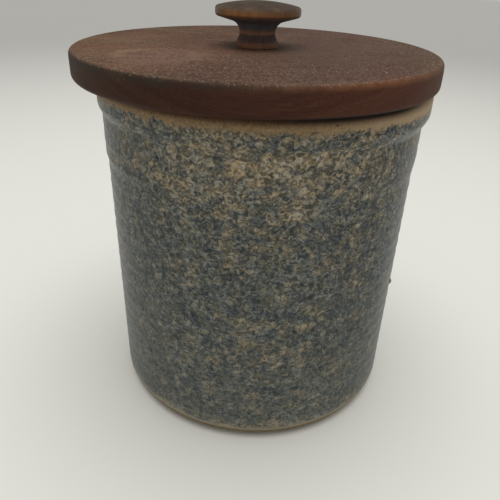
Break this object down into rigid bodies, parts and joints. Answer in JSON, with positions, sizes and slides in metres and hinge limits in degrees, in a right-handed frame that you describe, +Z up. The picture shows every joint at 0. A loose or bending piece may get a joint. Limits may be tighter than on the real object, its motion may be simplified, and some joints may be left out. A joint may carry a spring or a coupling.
{
  "type": "butter crock",
  "caption": "Straight-sided glazed stoneware crock with a banded rim and a loose turned wooden lid that overhangs the rim and carries a mushroom-shaped knob.",
  "frame": {"origin": "centre of the crock's flat foot, on its axis, where it stands", "axes": "+Z up along the crock's axis; -Y towards the viewer; the loose lid rests slid towards -X"},
  "size_m": [0.1778, 0.1778, 0.2072],
  "materials": {
    "stoneware": "glossy clear glaze over buff clay mottled with slate blue, bare tan lip and foot",
    "lid_wood": "oiled red-brown hardwood, dulled and dusty on top",
    "knob_wood": "lacquered lighter hardwood",
    "screw_metal": "dulled brass"
  },
  "bodies": {
    "crock": {"crock": "stoneware"},
    "lid": {"lid": "lid_wood", "knob": "knob_wood", "knob_screw": "screw_metal"}
  },
  "joints": [
    {"name": "lid_lift", "type": "slide", "parent": "crock", "child": "lid", "axis": [0, 0, 1], "range_m": [0, 0.08]}
  ]
}
